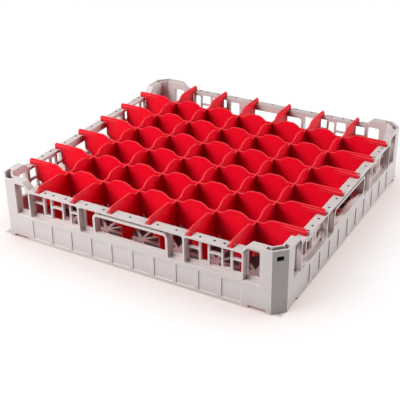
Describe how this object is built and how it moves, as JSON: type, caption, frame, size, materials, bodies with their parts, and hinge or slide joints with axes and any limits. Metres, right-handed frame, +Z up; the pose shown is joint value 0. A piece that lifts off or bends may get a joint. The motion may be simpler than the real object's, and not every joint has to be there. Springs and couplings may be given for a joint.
{
  "type": "compartment rack for bottles and glasses",
  "caption": "Square open-sided plastic rack with hand openings, lattice walls, raised corner posts and a lift-out cross-lapped divider grid.",
  "frame": {"origin": "centre of the square footprint, on the ground", "axes": "+Z up; the four walls face +X, -X, +Y and -Y; the front wall faces -Y, the column strips run along Y and the row strips along X"},
  "size_m": [0.5, 0.5, 0.104],
  "materials": {
    "grey_polypropylene": "moulded satin",
    "red_polypropylene": "moulded satin"
  },
  "bodies": {
    "rack": {"side_wall_front": "grey_polypropylene", "side_wall_right": "grey_polypropylene", "side_wall_back": "grey_polypropylene", "side_wall_left": "grey_polypropylene", "corner_post_front_right": "grey_polypropylene", "corner_post_back_right": "grey_polypropylene", "corner_post_back_left": "grey_polypropylene", "corner_post_front_left": "grey_polypropylene", "floor_grid": "grey_polypropylene"},
    "divider_insert": {"divider_column_1": "red_polypropylene", "divider_column_2": "red_polypropylene", "divider_column_3": "red_polypropylene", "divider_column_4": "red_polypropylene", "divider_column_5": "red_polypropylene", "divider_column_6": "red_polypropylene"},
    "row_strip_1": {"divider_row_1": "red_polypropylene"},
    "row_strip_2": {"divider_row_2": "red_polypropylene"},
    "row_strip_3": {"divider_row_3": "red_polypropylene"},
    "row_strip_4": {"divider_row_4": "red_polypropylene"},
    "row_strip_5": {"divider_row_5": "red_polypropylene"},
    "row_strip_6": {"divider_row_6": "red_polypropylene"}
  },
  "joints": [
    {"name": "insert_lift", "type": "slide", "parent": "rack", "child": "divider_insert", "axis": [0, 0, 1], "range_m": [0, 0.12]},
    {"name": "row_strip_1_lift", "type": "slide", "parent": "divider_insert", "child": "row_strip_1", "axis": [0, 0, 1], "range_m": [0, 0.1]},
    {"name": "row_strip_2_lift", "type": "slide", "parent": "divider_insert", "child": "row_strip_2", "axis": [0, 0, 1], "range_m": [0, 0.1]},
    {"name": "row_strip_3_lift", "type": "slide", "parent": "divider_insert", "child": "row_strip_3", "axis": [0, 0, 1], "range_m": [0, 0.1]},
    {"name": "row_strip_4_lift", "type": "slide", "parent": "divider_insert", "child": "row_strip_4", "axis": [0, 0, 1], "range_m": [0, 0.1]},
    {"name": "row_strip_5_lift", "type": "slide", "parent": "divider_insert", "child": "row_strip_5", "axis": [0, 0, 1], "range_m": [0, 0.1]},
    {"name": "row_strip_6_lift", "type": "slide", "parent": "divider_insert", "child": "row_strip_6", "axis": [0, 0, 1], "range_m": [0, 0.1]}
  ]
}
